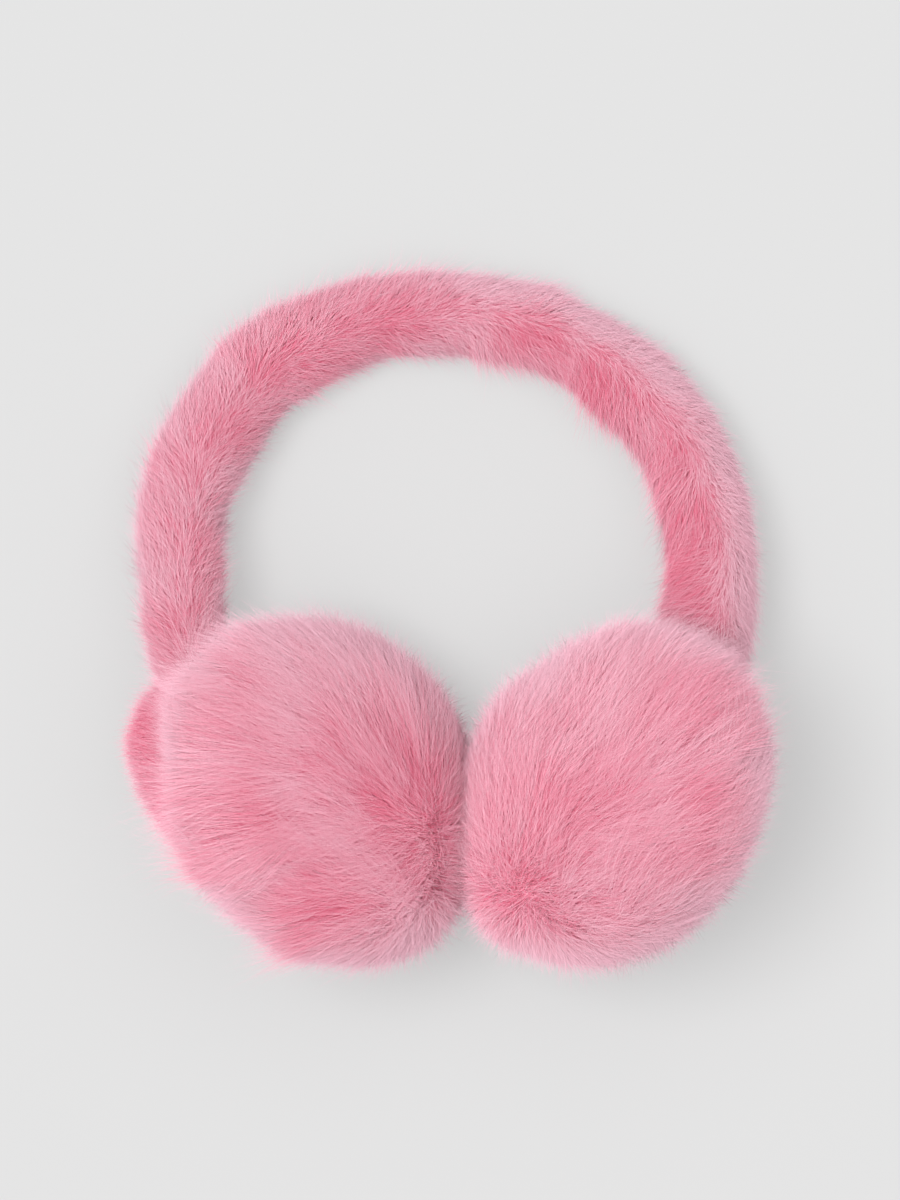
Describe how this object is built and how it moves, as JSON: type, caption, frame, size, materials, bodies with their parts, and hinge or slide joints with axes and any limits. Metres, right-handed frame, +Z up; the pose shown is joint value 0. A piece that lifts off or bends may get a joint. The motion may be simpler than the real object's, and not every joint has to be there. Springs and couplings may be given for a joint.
{
  "type": "fur earmuffs",
  "caption": "Faux fur earmuffs lying flat: an arched fur-covered headband with two deep round fur ear pads that face each other.",
  "frame": {"origin": "middle of the underside, on the surface that the earmuffs lie on", "axes": "+Z up, +Y from the ear pads to the top of the arch, +X from the left ear pad to the right one as seen from above"},
  "size_m": [0.206, 0.225, 0.1031],
  "materials": {
    "band_fur": "soft pink faux fur",
    "pad_fur": "deep soft pink faux fur, paler at the tips",
    "cover_fur": "soft pink faux fur"
  },
  "bodies": {
    "root": {"headband": "band_fur", "left_ear_pad": "pad_fur", "left_outer_cover": "cover_fur", "right_ear_pad": "pad_fur", "right_outer_cover": "cover_fur"}
  },
  "joints": []
}
